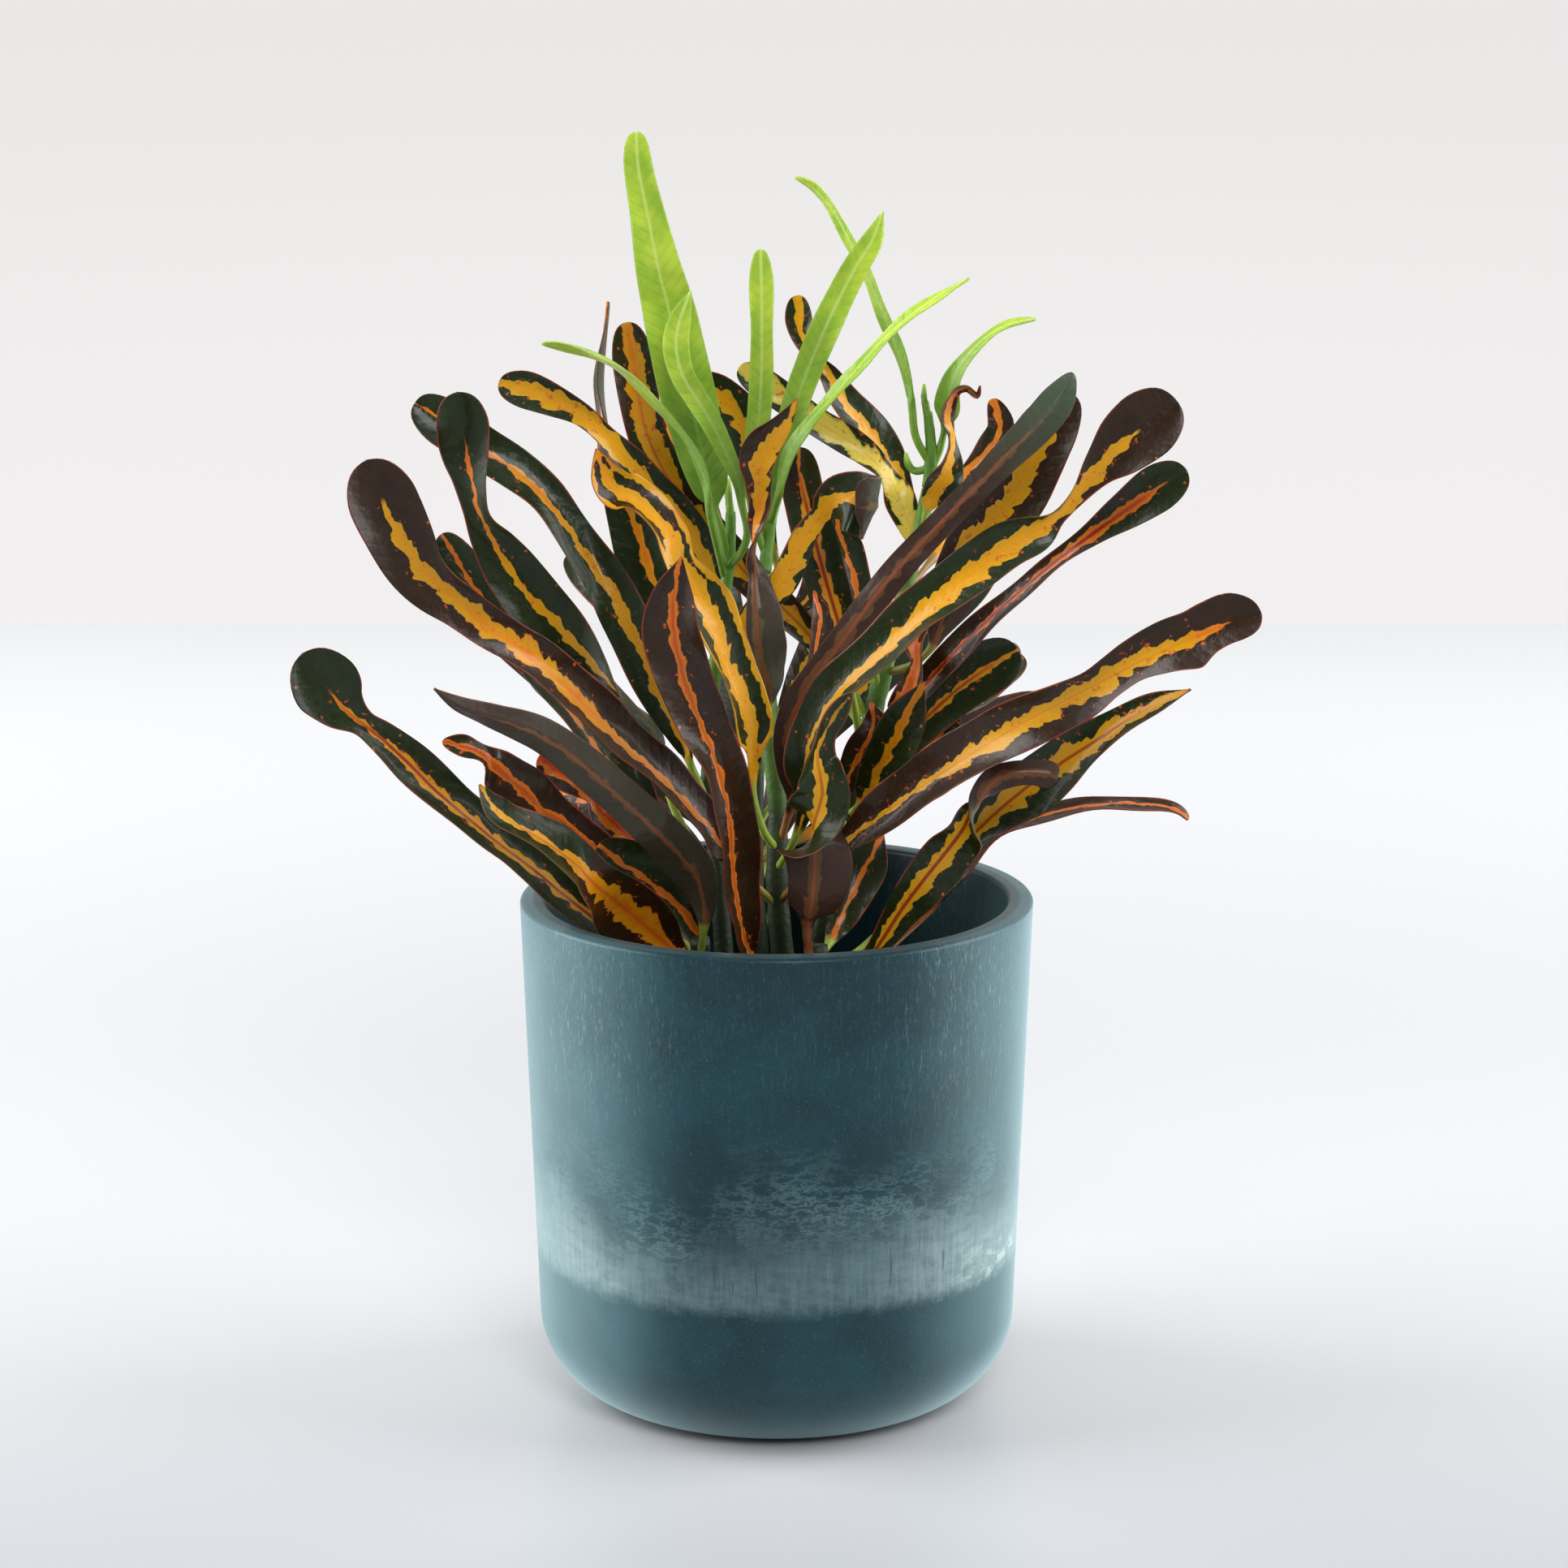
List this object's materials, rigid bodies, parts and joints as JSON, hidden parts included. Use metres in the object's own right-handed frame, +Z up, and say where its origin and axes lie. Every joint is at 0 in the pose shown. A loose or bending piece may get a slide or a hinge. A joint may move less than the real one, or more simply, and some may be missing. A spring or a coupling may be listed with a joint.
{
  "type": "potted croton",
  "caption": "Croton plant with narrow, waved and spoon-tipped variegated leaves and young green shoots, in a round stone-composite pot with a flat rim.",
  "frame": {"origin": "middle of the pot's flat underside", "axes": "+Z up along the pot's axis, +X to the right and -Y toward the viewer of the picture"},
  "size_m": [0.2465, 0.2204, 0.3475],
  "materials": {
    "pot": "satin",
    "soil": "matte",
    "variegated_leaf": "gloss",
    "young_leaf": "satin"
  },
  "bodies": {
    "root": {"pot": "pot", "soil": "soil", "leafy_stem_center": "variegated_leaf", "leafy_stem_left": "variegated_leaf", "leafy_stem_right": "variegated_leaf", "leafy_stem_front_left": "variegated_leaf", "leafy_stem_front_right": "variegated_leaf", "leafy_stem_back": "variegated_leaf", "green_shoot_left": "young_leaf", "green_shoot_center": "young_leaf", "green_shoot_right": "young_leaf"}
  },
  "joints": []
}
